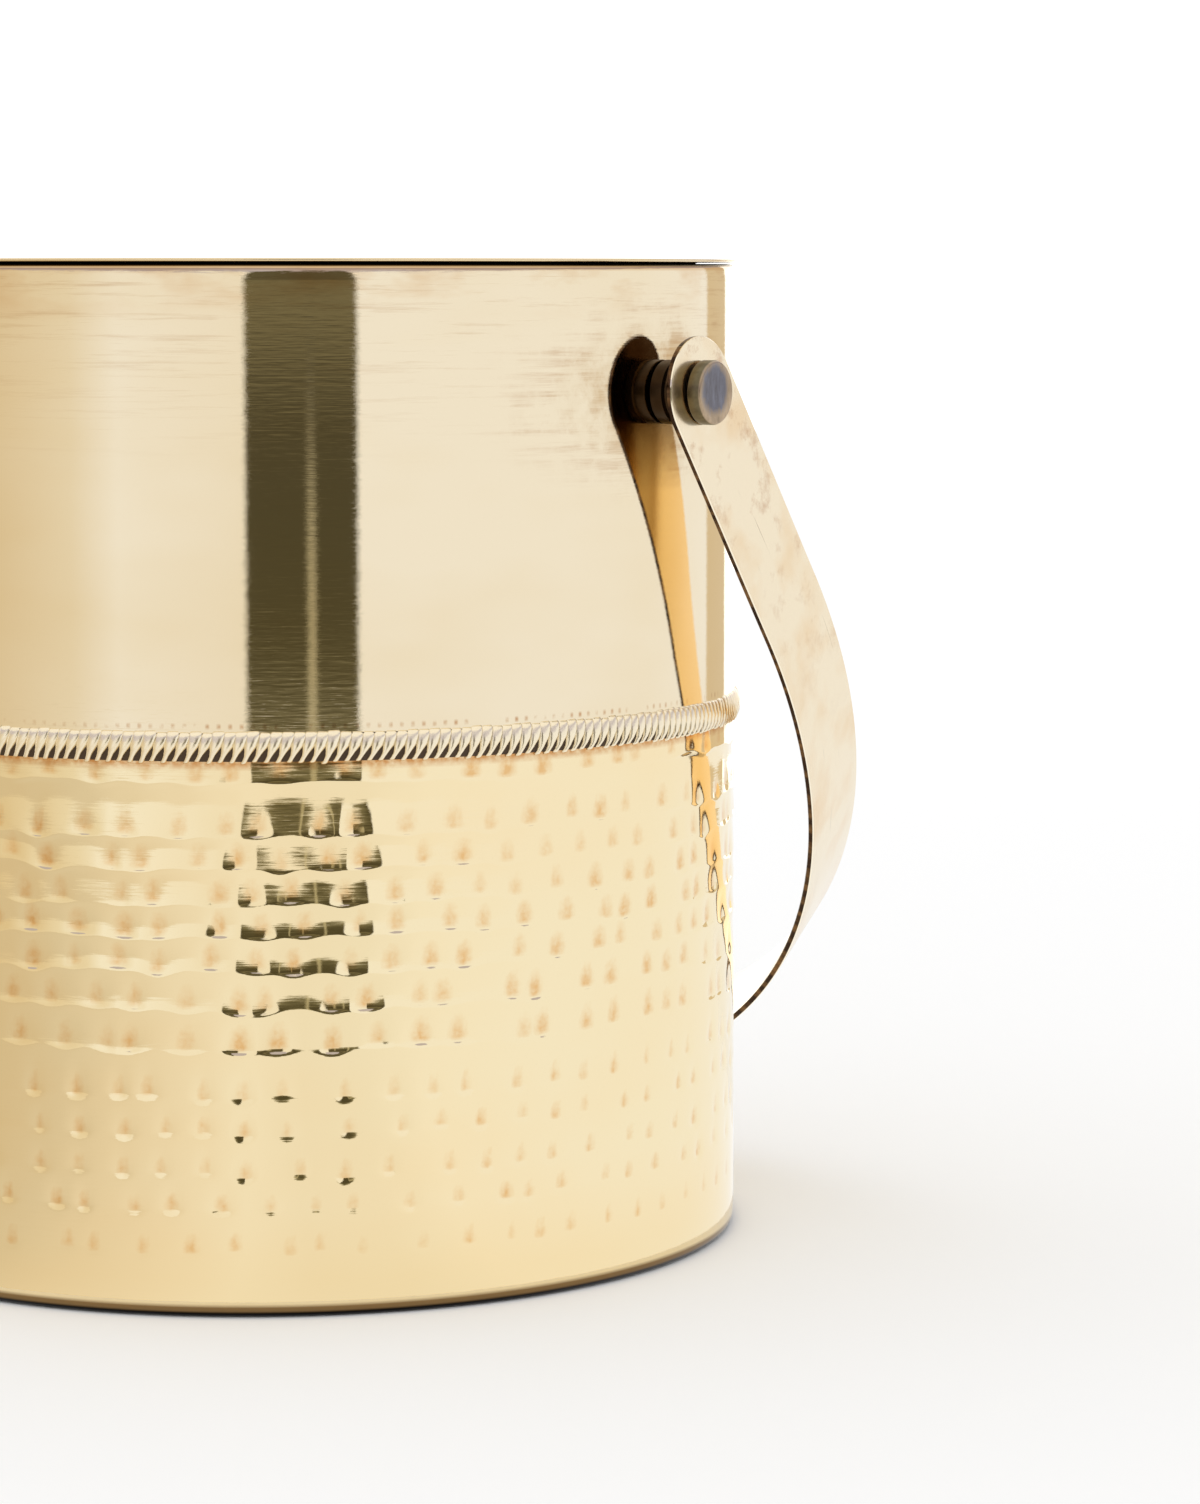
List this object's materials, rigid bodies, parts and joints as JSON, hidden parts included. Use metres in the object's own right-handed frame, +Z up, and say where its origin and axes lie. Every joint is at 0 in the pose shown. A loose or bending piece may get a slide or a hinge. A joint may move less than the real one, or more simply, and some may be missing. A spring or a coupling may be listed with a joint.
{
  "type": "ice bucket",
  "caption": "Round double-walled metal ice bucket, smooth above and hammered below a twisted wire band, with a flat strap handle that swings on headed pins.",
  "frame": {"origin": "centre of the flat base where the bucket rests on the table", "axes": "+Z up along the bucket's axis; the handle's pivot pins lie along X; the handle hangs over the +Y side"},
  "size_m": [0.1776, 0.1749, 0.1657],
  "materials": {
    "shell_brass": "pale brass, brushed round the wall above the band, hammered below it",
    "liner_brass": "satin spun pale brass",
    "base_brass": "plain spun brass, slightly dulled",
    "band_brass": "twisted brass wire, dark in its grooves",
    "strap_brass": "rolled pale brass strip with fine scratches and sheared edges",
    "aged_brass": "dark patinated turned brass",
    "hardware_brass": "plain turned brass"
  },
  "bodies": {
    "bucket": {"outer_shell": "shell_brass", "inner_liner": "liner_brass", "base_plate": "base_brass", "rope_band": "band_brass", "pivot_pin_right": "aged_brass", "pivot_pin_left": "aged_brass", "pivot_spacer_right": "aged_brass", "pivot_spacer_left": "aged_brass", "backing_washer_right": "hardware_brass", "backing_washer_left": "hardware_brass", "pivot_nut_right": "hardware_brass", "pivot_nut_left": "hardware_brass"},
    "handle": {"bail_strap": "strap_brass"}
  },
  "joints": [
    {"name": "handle_swing", "type": "hinge", "parent": "bucket", "child": "handle", "pos_m": [0, 0, 0.1443], "axis": [1, 0, 0], "range_deg": [0, 290]}
  ]
}
